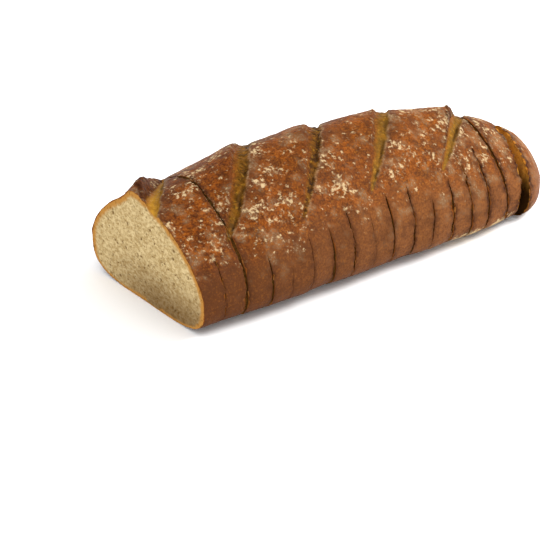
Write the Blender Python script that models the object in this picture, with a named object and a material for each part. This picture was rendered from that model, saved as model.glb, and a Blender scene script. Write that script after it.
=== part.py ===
"""A long free-standing rye loaf, sliced from its open front end, with every slice still in its place.

X runs along the loaf from the front cut to the heel, Y across it and Z up from the base.
The sizes below are in millimetres, and MM turns them into the metres of the scene.
"""

import math
from collections import namedtuple

import bmesh
import bpy
import numpy as np
from mathutils import Euler, Matrix, Vector

MM = 0.001

# The whole loaf: places along it, each with its half width and its height.
STATIONS = (
    (0.0, 57.8, 63.9),
    (30.0, 57.5, 68.2),
    (60.0, 57.5, 75.6),
    (90.0, 55.5, 79.4),
    (120.0, 53.0, 78.1),
    (150.0, 51.0, 78.3),
    (180.0, 49.0, 74.3),
    (210.0, 45.0, 66.6),
    (240.0, 43.0, 58.2),
    (272.0, 45.0, 54.1),
)
WIDEST_AT = 0.345  # height of the widest line, as a share of the loaf's height
DOME_POWER = 1.54  # 2 is an ellipse, less is closer to a roof
BASE_POWER = 3.6  # a rounded lower corner
CREST_SOFTNESS = 0.12
SETTLED = 0.35  # depth of the base that has been pressed flat

# The heel end, where the loaf closes.
HEEL_START = 200.0
HEEL_TIP = 271.5
HEEL_POWER = 2.6
HEEL_ROOT = 2.0
UNDERSIDE_POWER = 10.0
UNDERSIDE_ROOT = 3.0

# The baker's scores. Each crosses the crest at one place and runs down both sides at a slant, with a half width, a
# depth and a reach down each side, where it ends in a point or more bluntly. The lip before it has half risen at one
# distance from the crest, and falls away over its spread.
Score = namedtuple("Score", "crest slant half depth reach blunt lip risen spread")
SCORES = (
    Score(
        crest=5.6, slant=0.75, half=5.9, depth=2.8, reach=33.0, blunt=2.0,
        lip=12.0, risen=10.0, spread=13.5,
    ),
    Score(
        crest=64.8, slant=0.74, half=6.2, depth=1.4, reach=42.0, blunt=4.0,
        lip=2.0, risen=-20.0, spread=14.0,
    ),
    Score(
        crest=115.0, slant=0.70, half=5.0, depth=1.3, reach=46.0, blunt=2.0,
        lip=1.4, risen=-20.0, spread=14.0,
    ),
    Score(
        crest=163.2, slant=0.76, half=5.6, depth=1.3, reach=41.0, blunt=2.0,
        lip=1.5, risen=-20.0, spread=18.0,
    ),
    Score(
        crest=218.9, slant=0.90, half=5.2, depth=1.4, reach=38.0, blunt=2.0,
        lip=4.0, risen=-8.0, spread=14.0,
    ),
)
SCORE_CURL = 1.2e-4  # how fast a score bends back along the loaf as it runs down a side
DEEPEST_AT = 0.3  # of the half width, towards the heel
LIP_RISE = 8.0
LIP_ROUNDING = 1.0
LIP_LEANING = 0.22  # how much wider a lip's slope is, for each millimetre of its height
SHOULDER_DROP = 0.35
SHOULDER_REACH = 5.0
EDGE_RIPPLE = 0.06  # of the half width
RIPPLE_LENGTH = 11.0
LEAST_HALF = 0.1  # half width that a score keeps where it ends

# Slow unevenness of the whole crust.
SWELL_HEIGHT = 0.55
SWELL_WAVES = 7
SWELL_LENGTHS = (28.0, 75.0)
SEED = 11

# Each cut: its place at the base, lean and turn in degrees, and the width of the gap it leaves.
CUTS = (
    (0.9, -1.2, 0.2, 0.4),
    (13.7, 0.5, -1.0, 0.4),
    (29.0, 1.2, -0.1, 1.5),
    (44.9, -1.5, -2.0, 0.6),
    (60.4, -1.6, -0.1, 0.4),
    (74.4, 0.3, 0.2, 0.5),
    (90.4, -3.1, -1.5, 0.5),
    (103.6, -1.1, -1.7, 0.5),
    (120.7, -1.8, -0.1, 0.4),
    (133.8, -0.9, -1.1, 0.7),
    (149.0, -0.4, -1.9, 0.5),
    (163.0, 3.5, 0.4, 0.5),
    (177.6, 2.8, -1.5, 0.9),
    (194.9, 0.1, 0.1, 0.5),
    (207.0, 2.9, -0.9, 0.6),
    (224.2, -2.4, -3.2, 2.0),
    (239.2, 9.0, 1.0, 6.0),
)
SIDE_STEP = 0.5  # most that a slice has slid sideways
HEEL_SLIDE = -3.0

# The mesh of the whole loaf.
ROUND_STEPS = 48
BASE_WEIGHT = 0.25  # the base needs fewer steps for its length
BEND_WEIGHT = 16.0  # millimetres of crust that a turn of one radian counts as
BASE_BELOW = -0.31  # sine of the angle where the base begins
FINE_STEPS = 4001
FIRST_RING = -64.0
LAST_RING = 270.5
RING_SHARES = (0.0, 0.5, 1.0)  # of a score's half width
RING_REACH = 8.0  # of the last ring beside a score
RING_PITCH = 4.2
LEAST_PITCH = 1.0
UNSLANT_START = 185.0
SLANT_LIMIT = 40.0  # rings slant no further than this from the crest
FLAT_ANGLE = math.radians(0.4)

CRUST_COLOUR = (0.225, 0.078, 0.024, 1.0)
CRUMB_COLOUR = (0.56, 0.42, 0.22, 1.0)


def curve_through(x, knots, values):
    """A smooth curve through the values at the knots, level beyond both ends."""
    slopes = np.gradient(values, knots)
    x = np.clip(x, knots[0], knots[-1])
    left = np.clip(np.searchsorted(knots, x) - 1, 0, len(knots) - 2)
    span = knots[left + 1] - knots[left]
    t = (x - knots[left]) / span
    ends = values[left] * (1 + 2 * t) * (1 - t) ** 2 + values[left + 1] * t**2 * (3 - 2 * t)
    return ends + span * t * (1 - t) * (slopes[left] * (1 - t) - slopes[left + 1] * t)


def closing(x, power, root):
    """1 along the loaf, falling to 0 at the heel's tip."""
    along = np.clip((x - HEEL_START) / (HEEL_TIP - HEEL_START), 0, 1)
    return (1 - along**power) ** (1 / root)


def half_width(x):
    knots, widths, _ = np.transpose(STATIONS)
    return curve_through(x, knots, widths) * closing(x, HEEL_POWER, HEEL_ROOT)


def centre_height(x):
    knots, _, heights = np.transpose(STATIONS)
    return WIDEST_AT * curve_through(x, knots, heights)


def dome_height(x):
    """Height of the dome above the widest line."""
    knots, _, heights = np.transpose(STATIONS)
    full = (1 - WIDEST_AT) * curve_through(x, knots, heights)
    return full * closing(x, HEEL_POWER, HEEL_ROOT)


def base_depth(x):
    """Depth of the base below the widest line."""
    return centre_height(x) * closing(x, UNDERSIDE_POWER, UNDERSIDE_ROOT)


def plain_radius(x, angle):
    """Distance from the middle of the section to the crust, without scores or unevenness."""
    across = np.sqrt(np.cos(angle) ** 2 + CREST_SOFTNESS**2) / np.hypot(1, CREST_SOFTNESS)
    upright = np.abs(np.sin(angle))
    above = np.sin(angle) > 0
    power = np.where(above, DOME_POWER, BASE_POWER)
    height = np.where(above, dome_height(x), base_depth(x))
    tiny = 1e-6
    wide = (across / np.maximum(half_width(x), tiny)) ** power
    tall = (upright / np.maximum(height, tiny)) ** power
    return (wide + tall) ** (-1 / power)


def swell(x, angle):
    """Slow hills and hollows, the same on every run."""
    draw = np.random.default_rng(SEED)
    total = 0.0
    for _ in range(SWELL_WAVES):
        length = draw.uniform(*SWELL_LENGTHS)
        turns = draw.integers(0, 4)
        phase = draw.uniform(0, 2 * np.pi)
        total = total + np.sin(2 * np.pi * x / length + turns * angle + phase)
    return SWELL_HEIGHT * total / math.sqrt(SWELL_WAVES)


def smooth(value, low, high):
    """0 below low, 1 above high and a soft step between."""
    t = np.clip((value - low) / (high - low), 0, 1)
    return t * t * (3 - 2 * t)


def lip_slope(lip):
    """Half the width of the slope from a lip into its groove."""
    return LIP_ROUNDING + LIP_LEANING * lip


def stroke(slant, y):
    """How far a score has moved along the loaf by the time it is y from the crest."""
    return slant * (y + SCORE_CURL * y**3)


def score_relief(x, y):
    """The scores: a raised lip before each groove, and a rounded shoulder after it."""
    total = np.zeros(np.broadcast(x, y).shape)
    for score in SCORES:
        fade = np.sqrt(1 - np.clip(np.abs(y / score.reach), 0, 1) ** score.blunt)
        ripple = 1 + EDGE_RIPPLE * np.sin(2 * np.pi * y / RIPPLE_LENGTH + score.crest)
        edge = np.maximum(score.half * fade * ripple, LEAST_HALF)
        offset = x - score.crest - stroke(score.slant, y)
        share = (offset / edge - DEEPEST_AT) / (1 + DEEPEST_AT * np.where(offset < 0, 1, -1))
        groove = -score.depth * fade * np.clip(1 - share**2, 0, 1)
        lip = score.lip * 0.5 * (1 + np.tanh((y - score.risen) / LIP_RISE))
        slope = lip_slope(lip)
        raised = lip * fade * np.exp(-((np.minimum(offset + edge, 0) / score.spread) ** 2))
        raised = raised * (1 - smooth(offset + edge, -slope, slope))
        dropped = -SHOULDER_DROP * fade * np.clip(0.5 + 0.5 * offset / edge, 0, 1)
        dropped = dropped * np.exp(-np.maximum(offset - edge, 0) / SHOULDER_REACH)
        total += raised + groove + dropped
    return total


def crust_point(x, angle):
    """The crust's points at the places x along the loaf and the angles round it."""
    radius = plain_radius(x, angle)
    y = radius * np.cos(angle)
    above = np.clip(np.sin(angle), 0, 1)
    lift = score_relief(x, y) * np.sqrt(above) + swell(x, angle) * closing(x, HEEL_POWER, HEEL_ROOT)
    radius = radius + np.where(above > 0, lift, lift * (1 - np.abs(np.sin(angle))))
    z = centre_height(x) + radius * np.sin(angle) - SETTLED
    return np.stack([x + 0 * angle, radius * np.cos(angle), np.maximum(z, 0)], axis=-1)


def even_angles():
    """Angles round the loaf, in even steps over the dome, closer at the lower corners and wider on the base."""
    fine = np.linspace(-np.pi / 2, 3 * np.pi / 2, FINE_STEPS)
    radius = plain_radius(np.full_like(fine, 0.5 * HEEL_START), fine)
    steps = np.diff(radius * np.exp(1j * fine))
    bends = np.abs(np.angle(steps[1:] / steps[:-1]))
    on_base = np.sin(fine[1:-1]) < BASE_BELOW
    weights = np.abs(steps[1:]) * np.where(on_base, BASE_WEIGHT, 1) + BEND_WEIGHT * bends
    travelled = np.concatenate([[0, 0], np.cumsum(weights)])
    return np.interp(np.arange(ROUND_STEPS) / ROUND_STEPS * travelled[-1], travelled, fine)


def ring_places():
    """Where the mesh's rings cross the crest: a fixed set beside each score, and even steps between."""
    marks = [FIRST_RING]
    for score in SCORES:
        slope = lip_slope(score.lip)
        foot = score.crest - score.half
        marks.extend((foot - RING_REACH, foot - slope, foot + slope))
        marks.extend(score.crest + share * score.half for share in RING_SHARES)
        marks.append(score.crest + score.half + RING_REACH)
    marks = sorted(mark for mark in marks if mark < LAST_RING - LEAST_PITCH)
    marks.append(LAST_RING)
    places = []
    for start, end in zip(marks, marks[1:]):
        steps = max(1, round((end - start) / RING_PITCH))
        places.extend(np.linspace(start, end, steps, endpoint=False))
    return np.array(places + [LAST_RING])


def slant_at(place):
    """The slant of a ring, which follows the scores beside it and is lost at the heel."""
    crests = [score.crest for score in SCORES]
    slants = [score.slant for score in SCORES]
    left = 1 - np.clip((place - UNSLANT_START) / (LAST_RING - UNSLANT_START), 0, 1)
    return np.interp(place, crests, slants) * left


def whole_loaf():
    """The loaf as one closed mesh: a sphere whose rings are laid parallel to the scores."""
    angles = even_angles()
    places = ring_places()
    mesh = bmesh.new()
    lying = Euler((0, math.pi / 2, 0)).to_matrix().to_4x4()
    bmesh.ops.create_uvsphere(
        mesh, u_segments=len(angles), v_segments=len(places) + 1, radius=1, matrix=lying
    )
    for vert in mesh.verts:
        polar = math.acos(max(-1.0, min(1.0, -vert.co.x)))
        ring = round(polar / math.pi * (len(places) + 1)) - 1
        turn = math.atan2(vert.co.z, vert.co.y) % (2 * math.pi)
        step = round(turn / (2 * math.pi) * len(angles)) % len(angles)
        vert.co = Vector(ring_point(places, angles, ring, step)) * MM
    bmesh.ops.recalc_face_normals(mesh, faces=mesh.faces)
    return mesh


def ring_point(places, angles, ring, step):
    """A point of one ring, or of the pole before the first ring or after the last."""
    if ring < 0:
        return (places[0] - 1, 0.0, centre_height(places[0]))
    if ring == len(places):
        return (HEEL_TIP, 0.0, float(centre_height(HEEL_TIP)))
    place, angle = places[ring], angles[step]
    y = plain_radius(place, angle) * math.cos(angle)
    near_y = min(max(y, -SLANT_LIMIT), SLANT_LIMIT)
    x = place + stroke(slant_at(place), near_y)
    return crust_point(np.array(x), np.array(angle))


def cut_plane(cut, side):
    """A point and a normal of one face of a cut: side -1 is its front face, and 1 its back face."""
    place, lean, turn, gap = cut
    normal = Vector((1, -math.tan(math.radians(turn)), -math.tan(math.radians(lean)))).normalized()
    return Vector((place * MM, 0, 0)) + normal * (side * gap * MM / 2), normal


def keep_between(mesh, front, back):
    """Cuts the loaf at a front plane, and at a back plane if there is one, and closes the cut faces."""
    planes = [(front, True)]
    if back:
        planes.append((back, False))
    for (point, normal), clear_inner in planes:
        everything = mesh.verts[:] + mesh.edges[:] + mesh.faces[:]
        cut = bmesh.ops.bisect_plane(
            mesh,
            geom=everything,
            plane_co=point,
            plane_no=normal,
            clear_inner=clear_inner,
            clear_outer=not clear_inner,
        )
        rim = [item for item in cut["geom_cut"] if isinstance(item, bmesh.types.BMEdge)]
        bmesh.ops.contextual_create(mesh, geom=rim, mat_nr=1)
    bmesh.ops.dissolve_limit(
        mesh, angle_limit=FLAT_ANGLE, verts=mesh.verts, edges=mesh.edges, delimit={"MATERIAL"}
    )
    bmesh.ops.recalc_face_normals(mesh, faces=mesh.faces)


def bread_material(name, colour, roughness):
    material = bpy.data.materials.new(name)
    material.use_nodes = True
    shader = material.node_tree.nodes["Principled BSDF"]
    shader.inputs["Base Color"].default_value = colour
    shader.inputs["Roughness"].default_value = roughness
    shader.inputs["Metallic"].default_value = 0.0
    return material


def add_piece(name, loaf, front, back, slid, collection):
    """One slice, or the heel, as its own object with its own crust and crumb."""
    solid = loaf.copy()
    keep_between(solid, front, back)
    sideways = Matrix.Translation((0, slid * MM, 0))
    bmesh.ops.transform(solid, matrix=sideways, verts=solid.verts)
    data = bpy.data.meshes.new(name)
    solid.to_mesh(data)
    solid.free()
    data.materials.append(bread_material(name + "_crust", CRUST_COLOUR, 0.7))
    data.materials.append(bread_material(name + "_crumb", CRUMB_COLOUR, 0.9))
    piece = bpy.data.objects.new(name, data)
    collection.objects.link(piece)
    return piece


def move_to_centre(pieces):
    """Puts the middle of the base of the box round all the pieces at the origin."""
    corners = np.array([vert.co for piece in pieces for vert in piece.data.vertices])
    low, high = corners.min(axis=0), corners.max(axis=0)
    middle = Vector((0.5 * (low[0] + high[0]), 0.5 * (low[1] + high[1]), low[2]))
    for piece in pieces:
        piece.data.transform(Matrix.Translation(-middle))


def clear_scene():
    for old in list(bpy.data.objects):
        bpy.data.objects.remove(old)


def build():
    clear_scene()
    collection = bpy.data.collections.new("rye_bread")
    bpy.context.scene.collection.children.link(collection)
    loaf = whole_loaf()
    draw = np.random.default_rng(SEED)
    pieces = []
    for index, cut in enumerate(CUTS):
        front = cut_plane(cut, 1)
        last = index == len(CUTS) - 1
        back = None if last else cut_plane(CUTS[index + 1], -1)
        name = "heel" if last else f"slice_{index + 1:02d}"
        slid = HEEL_SLIDE if last else draw.uniform(-SIDE_STEP, SIDE_STEP)
        pieces.append(add_piece(name, loaf, front, back, slid, collection))
    loaf.free()
    move_to_centre(pieces)


build()
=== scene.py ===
"""The looks of a long sliced rye loaf: its floured and scored crust, its crumb, and a plain studio.

The form repeats the solids' own formulas, so each fine mesh lies where its solid does. Lengths are in
millimetres, measured from the front cut with X along the loaf, and MM turns them into the scene's metres.
"""

import functools
import itertools
import math
from collections import namedtuple

import bpy
import numpy as np
from mathutils import Matrix, Vector


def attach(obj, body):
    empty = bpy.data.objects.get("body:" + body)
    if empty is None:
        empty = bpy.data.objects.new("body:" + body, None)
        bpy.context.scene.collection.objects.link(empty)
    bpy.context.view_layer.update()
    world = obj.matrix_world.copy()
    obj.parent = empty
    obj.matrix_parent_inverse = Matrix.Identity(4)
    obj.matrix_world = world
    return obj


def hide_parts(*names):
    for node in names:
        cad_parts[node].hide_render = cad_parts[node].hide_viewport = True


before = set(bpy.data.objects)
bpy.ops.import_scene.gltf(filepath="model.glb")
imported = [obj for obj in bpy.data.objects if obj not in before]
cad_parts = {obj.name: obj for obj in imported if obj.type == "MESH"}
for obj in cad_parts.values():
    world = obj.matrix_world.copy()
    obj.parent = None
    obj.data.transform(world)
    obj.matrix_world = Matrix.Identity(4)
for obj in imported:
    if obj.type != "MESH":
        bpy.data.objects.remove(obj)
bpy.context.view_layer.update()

MM = 0.001
MIDDLE = (135.630, -0.328, 0.0)  # the middle of the solids' box, as measured from the front cut

# The whole loaf: places along it, each with its half width and its height.
STATIONS = (
    (0.0, 57.8, 63.9),
    (30.0, 57.5, 68.2),
    (60.0, 57.5, 75.6),
    (90.0, 55.5, 79.4),
    (120.0, 53.0, 78.1),
    (150.0, 51.0, 78.3),
    (180.0, 49.0, 74.3),
    (210.0, 45.0, 66.6),
    (240.0, 43.0, 58.2),
    (272.0, 45.0, 54.1),
)
WIDEST_AT = 0.345  # of the height
DOME_POWER = 1.54
BASE_POWER = 3.6
CREST_SOFTNESS = 0.12
SETTLED = 0.35  # how far the base is pressed flat
HEEL_START = 200.0
HEEL_TIP = 271.5
HEEL_POWER = 2.6
HEEL_ROOT = 2.0
UNDERSIDE_POWER = 10.0
UNDERSIDE_ROOT = 3.0

# The baker's scores. Burnt says how dark the free edge of the lip is, and gilt how golden the inside is.
Score = namedtuple("Score", "crest slant half depth reach blunt lip risen spread burnt gilt")
SCORES = (
    Score(
        crest=5.6, slant=0.75, half=5.9, depth=2.8, reach=33.0, blunt=2.0,
        lip=12.0, risen=10.0, spread=13.5, burnt=1.0, gilt=1.0,
    ),
    Score(
        crest=64.8, slant=0.74, half=6.2, depth=1.4, reach=42.0, blunt=4.0,
        lip=2.0, risen=-20.0, spread=14.0, burnt=0.5, gilt=0.1,
    ),
    Score(
        crest=115.0, slant=0.70, half=5.0, depth=1.3, reach=46.0, blunt=2.0,
        lip=1.4, risen=-20.0, spread=14.0, burnt=0.4, gilt=0.0,
    ),
    Score(
        crest=163.2, slant=0.76, half=5.6, depth=1.3, reach=41.0, blunt=2.0,
        lip=1.5, risen=-20.0, spread=18.0, burnt=0.5, gilt=0.25,
    ),
    Score(
        crest=218.9, slant=0.90, half=5.2, depth=1.4, reach=38.0, blunt=2.0,
        lip=4.0, risen=-8.0, spread=14.0, burnt=1.0, gilt=0.35,
    ),
)
SCORE_CURL = 1.2e-4
DEEPEST_AT = 0.3
LIP_RISE = 8.0
LIP_ROUNDING = 1.0
LIP_LEANING = 0.22
SHOULDER_DROP = 0.35
SHOULDER_REACH = 5.0
EDGE_RIPPLE = 0.06
RIPPLE_LENGTH = 11.0
LEAST_HALF = 0.1

SWELL_HEIGHT = 0.55
SWELL_WAVES = 7
SWELL_LENGTHS = (28.0, 75.0)
SWELL_TURNS = 4  # waves round the loaf, fewer than this
SEED = 11

# Each cut: its place at the base, its lean and turn in degrees, and the width of the gap it leaves. At the
# crust it gapes wider than the gap up to one height, above which it is hard to see. The crust beside it is
# more or less broken, and darker.
Cut = namedtuple("Cut", "place lean turn gap wide open_to broken charred")
CUTS = (
    Cut(place=0.9, lean=-1.2, turn=0.2, gap=0.4, wide=0.0, open_to=90.0, broken=0.2, charred=0.0),
    Cut(place=13.7, lean=0.5, turn=-1.0, gap=0.4, wide=0.1, open_to=44.0, broken=1.0, charred=0.2),
    Cut(place=29.0, lean=1.2, turn=-0.1, gap=1.5, wide=1.0, open_to=80.0, broken=0.7, charred=0.45),
    Cut(place=44.9, lean=-1.5, turn=-2.0, gap=0.6, wide=0.5, open_to=36.0, broken=1.0, charred=0.35),
    Cut(place=60.4, lean=-1.6, turn=-0.1, gap=0.4, wide=0.0, open_to=30.0, broken=0.4, charred=0.2),
    Cut(place=74.4, lean=0.3, turn=0.2, gap=0.5, wide=0.2, open_to=40.0, broken=0.5, charred=0.35),
    Cut(place=90.4, lean=-3.1, turn=-1.5, gap=0.5, wide=0.3, open_to=46.0, broken=0.5, charred=0.4),
    Cut(place=103.6, lean=-1.1, turn=-1.7, gap=0.5, wide=0.3, open_to=52.0, broken=0.6, charred=0.4),
    Cut(place=120.7, lean=-1.8, turn=-0.1, gap=0.4, wide=0.0, open_to=42.0, broken=0.5, charred=0.25),
    Cut(place=133.8, lean=-0.9, turn=-1.1, gap=0.7, wide=0.5, open_to=50.0, broken=0.5, charred=0.5),
    Cut(place=149.0, lean=-0.4, turn=-1.9, gap=0.5, wide=0.3, open_to=50.0, broken=0.5, charred=0.5),
    Cut(place=163.0, lean=3.5, turn=0.4, gap=0.5, wide=0.1, open_to=40.0, broken=0.7, charred=0.4),
    Cut(place=177.6, lean=2.8, turn=-1.5, gap=0.9, wide=0.6, open_to=48.0, broken=1.0, charred=0.7),
    Cut(place=194.9, lean=0.1, turn=0.1, gap=0.5, wide=0.5, open_to=54.0, broken=0.9, charred=0.6),
    Cut(place=207.0, lean=2.9, turn=-0.9, gap=0.6, wide=0.8, open_to=54.0, broken=0.7, charred=0.9),
    Cut(place=224.2, lean=-2.4, turn=-3.2, gap=2.0, wide=0.9, open_to=90.0, broken=0.7, charred=1.0),
    Cut(place=239.2, lean=9.0, turn=1.0, gap=6.0, wide=0.4, open_to=90.0, broken=0.8, charred=1.0),
)
SIDE_STEP = 0.5  # how far a slice may have slid sideways
HEEL_SLIDE = -3.0
LEVEL_HEIGHTS = (15.0, 45.0)  # slices that have slid sideways come level again between these heights

# The fine meshes.
ROUND_STEPS = 440
CRUST_RINGS = 30
HEEL_RINGS = 60
RING_CROWDING = 0.5  # how much closer the rings stand beside the cuts
BASE_WEIGHT = 0.25  # of a step on the base, where few points are needed
BEND_WEIGHT = 16.0  # of a bend, where many are
BASE_BELOW = -0.31  # the sine of the angle where the base begins
FINE_STEPS = 4001
CUT_PASSES = 5  # of the search for where a cut meets the crust
SHOWN_FACE_PITCH = 0.55
HIDDEN_FACE_DEPTHS = (0.35, 0.9, 1.8, 3.2, 6.0)  # how far in from the rim the rings of a hidden face lie
SHARP_ANGLE = math.radians(50)

# Noise. Its octaves are added up and then brought back to about -1 to 1.
LATTICE = 32
OCTAVES = 3
OCTAVE_SUM = 1.4
BACK_EDGE = 100  # added to the seeds at the back of a piece
FACE_SEED = 300

# Relief that is too fine for the solids: its height, the size of its hills and the seed of its noise.
Relief = namedtuple("Relief", "height size seed")
EDGE_WANDER = Relief(height=0.9, size=5.0, seed=21)  # of a score's edge
SKIN = Relief(height=0.3, size=6.0, seed=31)
CRAGS = Relief(height=2.2, size=5.0, seed=35)  # the lumps on a burnt lip
GRAIN = Relief(height=0.1, size=1.7, seed=41)
CRUMBLE = Relief(height=0.55, size=2.6, seed=51)  # inside a score
RAGGED = Relief(height=1.0, size=6.0, seed=85)  # how far a cut's edges stray together
CLOSING_WANDER = Relief(height=6.0, size=9.0, seed=91)  # of the height where a cut closes
GAP_SHADE_WANDER = Relief(height=4.0, size=6.0, seed=97)  # of the height where the painted shade on the heel's face ends

# Patches of noise: the size of their hills, the seed, and the noise at their edge and where they are full.
Patches = namedtuple("Patches", "size seed low high")
TORN = Patches(size=9.0, seed=25, low=-0.4, high=0.3)
FLOURED = Patches(size=12.0, seed=61, low=-0.35, high=0.6)
HAZY = Patches(size=6.0, seed=65, low=0.1, high=0.7)
FLOURED_BASE = Patches(size=6.0, seed=67, low=-0.3, high=0.4)
CHIPPED = Patches(size=3.0, seed=81, low=0.0, high=0.7)
PARTED = Patches(size=4.5, seed=93, low=-0.4, high=0.5)
GAPING = Patches(size=3.5, seed=95, low=-0.7, high=0.9)
TEARING = Patches(size=3.0, seed=97, low=0.2, high=0.7)
DARK_EDGE_PATCHES = Patches(size=4.0, seed=281, low=-0.6, high=0.3)

# The scores' looks.
CREVICE_DEPTH = 1.3  # of the tear beside a score's shoulder
CREVICE_AT = 0.58  # of the half width
CREVICE_WIDTH = 0.24
CREVICE_CREST = (3.0, 14.0)  # the tear grows between these distances from the crest
GROWN_HALVES = (1.0, 3.0)  # half widths of a score between which its tear and its pale line grow
INSIDE_EDGE = 1.08  # of the half width, where the crust behind the score begins
INSIDE_SOFTNESS = 0.3
INSIDE_HALVES = (0.3, 1.2)
BURN_START = (2.0, 0.8)  # how far before a score the lip begins to burn, and how much further per height
BURN_FULL = (0.5, 0.6)  # and how far before it the lip is fully burnt
BURN_SOFTNESS = 0.25  # of the half width
BLUSH_WIDTH = 0.9  # of the half width, on the slope below the lip
LIP_DARKNESS = 0.6  # of the crust before every score
LIP_DARK_REACH = 6.0
DUSK_REACH = 9.0
CREAM_WIDTH = 0.8  # of the pale line along a score's shoulder
GILT_SMOOTHNESS = 0.6

# The crust's looks.
TOP_SHARES = (0.42, 0.74)  # of the height, between which the sides turn into the top
SIDE_SKIN = 0.4  # how rough the sides are, next to the top
PALE_SPAN = (-20.0, 190.0)  # the sides are paler from the front towards the heel: partly the crust's own tone, partly painted light that falls brighter towards the heel
FLOUR_HEIGHT = 0.15
FLOUR_HEIGHTS = (22.0, 42.0)
STREAK_SIZE = 3.0
STREAK_SEED = 71
STREAK_STRETCH = (1.0, 1.3, 1.0)
STREAK_WEIGHT = 0.8
PATCH_WEIGHT = 0.45
TOP_WEIGHT = 0.36
CLUSTER_BIAS = -0.72
CLUSTER_SPAN = (-0.4, 0.55)
HAZE_HEIGHTS = (16.0, 40.0)
DUSTED_SPAN = (170.0, 205.0)  # where the flour lies thicker, towards the heel
DUSTED_GAIN = 0.16
DUSTED_HAZE = 0.25
BASE_FLOUR = 2.0
BASE_FLOUR_SPAN = (150.0, 200.0)  # where flour clings to the lower edge
BASE_FLOUR_HEIGHTS = (7.5, 11.5)

# The cuts' looks.
TEAR = 0.8  # how far each edge draws back at a tear
LEAST_RAGGED = 0.3
LEAST_PARTED = 0.45  # of the gap's width
MOST_PARTED = 1.2
OFF_BASE_HEIGHTS = (0.0, 9.0)  # the base isn't torn
CLOSING_HEIGHT = 9.0  # over which a cut closes
NARROWING = 0.7
NARROWING_HEIGHTS = (28.0, 62.0)
WIDE_GAP = 1.8  # gaps wider than this don't narrow upwards
CHIP_DEPTH = 1.2
CHIP_REACH = 0.7
LEAST_CHIP = 0.06
BARE_DEPTHS = (0.4, 0.8)  # of a chip, between which the crust is gone
EDGE_DARKENING = 2.1
EDGE_DARK_REACH = 1.3
HEEL_EDGE_DARK_REACH = 2.3
SEAM_SHADE = 0.5  # how much darker the crust is beside a cut
SEAM_REACH = 2.6

# The cut faces' looks.
SHOWN_PORES = 900
HIDDEN_PORES = 60
LEAST_PORE = 0.3
PORE_GROWTH = 1.2
PORE_RARITY = 6  # the power that makes large pores rare
PORE_WIDTHS = (0.5, 0.95)  # of a pore's length
PORE_TURN = (0.5, 0.9)  # from upright, in radians: the middle and the spread
PORE_DEPTHS = (0.25, 0.9)
PORE_REACH = 1.3  # of its half axes
PORE_SHADES = (0.1, 0.6)  # depths between which a pore is painted darker, as the shade in its hollow
PORES_UNDER = (0.4, 1.6)  # depths under the crust between which pores begin
CRUMB_HEIGHT = 0.10
CRUMB_SIZE = 1.5
CRUMB_UNDER = (0.2, 1.0)
CRUMB_STRETCH = (1.0, 0.6, 1.0)  # the crumb's grain lies across the loaf
LOW_SHADE_SPAN = (-55.0, 15.0)  # painted shade, as cast by loose slices lying before the front face: the lower crumb is darker towards the near side
LOW_SHADE_HEIGHTS = (2.0, 34.0)
RIMLESS_DEPTH = 2.2  # how much less rim a face has where a score has laid the crumb bare
THIN_BASE = 1.5  # how much less rim it has at the base
THIN_HEIGHTS = (3.0, 14.0)
HIDDEN_GAP_SHADE = 0.85  # painted shade deep in a gap: how dark a hidden face is next to the crust that the cut has gone through
GAP_SHADE_DEPTHS = (1.0, 2.6)
HEEL_RIM = 0.4  # depths under the heel's crust count for this much, so its rim is broader
HEEL_SHADE_HEIGHTS = (16.0, 36.0)


def curve_through(x, knots, values):
    """A smooth curve through the values at the knots, level beyond both ends."""
    slopes = np.gradient(values, knots)
    x = np.clip(x, knots[0], knots[-1])
    left = np.clip(np.searchsorted(knots, x) - 1, 0, len(knots) - 2)
    span = knots[left + 1] - knots[left]
    t = (x - knots[left]) / span
    ends = values[left] * (1 + 2 * t) * (1 - t) ** 2 + values[left + 1] * t**2 * (3 - 2 * t)
    return ends + span * t * (1 - t) * (slopes[left] * (1 - t) - slopes[left + 1] * t)


def closing(x, power, root):
    """1 along the loaf, falling to 0 at the heel's tip."""
    along = np.clip((x - HEEL_START) / (HEEL_TIP - HEEL_START), 0, 1)
    return (1 - along**power) ** (1 / root)


def half_width(x):
    knots, widths, _ = np.transpose(STATIONS)
    return curve_through(x, knots, widths) * closing(x, HEEL_POWER, HEEL_ROOT)


def full_height(x):
    knots, _, heights = np.transpose(STATIONS)
    return curve_through(x, knots, heights)


def centre_height(x):
    return WIDEST_AT * full_height(x)


def dome_height(x):
    """Height of the dome above the widest line."""
    return (1 - WIDEST_AT) * full_height(x) * closing(x, HEEL_POWER, HEEL_ROOT)


def base_depth(x):
    """Depth of the base below the widest line."""
    return centre_height(x) * closing(x, UNDERSIDE_POWER, UNDERSIDE_ROOT)


def plain_radius(x, angle):
    """Distance from the middle of the section to the crust, without scores or unevenness."""
    across = np.sqrt(np.cos(angle) ** 2 + CREST_SOFTNESS**2) / np.hypot(1, CREST_SOFTNESS)
    upright = np.abs(np.sin(angle))
    above = np.sin(angle) > 0
    power = np.where(above, DOME_POWER, BASE_POWER)
    height = np.where(above, dome_height(x), base_depth(x))
    tiny = 1e-6
    wide = (across / np.maximum(half_width(x), tiny)) ** power
    tall = (upright / np.maximum(height, tiny)) ** power
    return (wide + tall) ** (-1 / power)


def swell(x, angle):
    """Slow hills and hollows, the same on every run."""
    draw = np.random.default_rng(SEED)
    total = 0.0
    for _ in range(SWELL_WAVES):
        length = draw.uniform(*SWELL_LENGTHS)
        turns = draw.integers(0, SWELL_TURNS)
        phase = draw.uniform(0, 2 * np.pi)
        total = total + np.sin(2 * np.pi * x / length + turns * angle + phase)
    return SWELL_HEIGHT * total / math.sqrt(SWELL_WAVES)


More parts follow.
